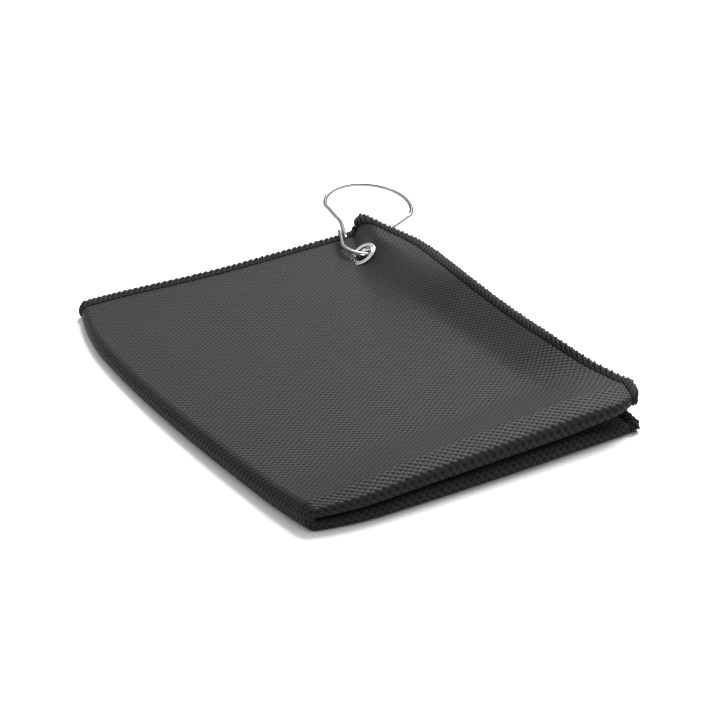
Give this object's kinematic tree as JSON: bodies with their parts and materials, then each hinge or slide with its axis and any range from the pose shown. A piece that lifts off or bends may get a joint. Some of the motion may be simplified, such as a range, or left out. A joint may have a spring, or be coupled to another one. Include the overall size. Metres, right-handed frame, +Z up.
{
  "type": "golf towel",
  "caption": "Mesh-knit microfibre golf towel folded in quarters, with overlocked edges, a metal eyelet in one corner and a springy wire ring that clips it to a golf bag.",
  "frame": {"origin": "on the ground under the middle of the folded towel", "axes": "+Z up; +X along the folded towel's short side and +Y along its long side, both towards the corner with the eyelet"},
  "size_m": [0.1775, 0.226, 0.0157],
  "materials": {
    "mesh_cloth": "matt charcoal mesh-knit microfibre",
    "seam_thread": "black overlock thread",
    "eyelet_metal": "bright nickel plate",
    "ring_metal": "polished chrome plate"
  },
  "bodies": {
    "towel": {"towel_cloth": "mesh_cloth", "seam_outer_end": "seam_thread", "seam_inner_end": "seam_thread", "seam_upper_side": "seam_thread", "seam_lower_side": "seam_thread", "eyelet": "eyelet_metal", "eyelet_washer": "eyelet_metal"},
    "ring": {"ring_wire": "ring_metal"},
    "gate": {"ring_gate": "ring_metal"}
  },
  "joints": [
    {"name": "ring_swivel", "type": "hinge", "parent": "towel", "child": "ring", "pos_m": [0.05506, 0.07665, 0.01018], "axis": [0.0536, -0.1055, 0.993], "range_deg": [-10, 35]},
    {"name": "gate_open", "type": "hinge", "parent": "ring", "child": "gate", "pos_m": [0.08497, 0.11921, 0.01309], "axis": [-0.817, 0.5671, 0.1044], "range_deg": [0, 12], "stiffness_Nm_per_rad": 0.05}
  ]
}
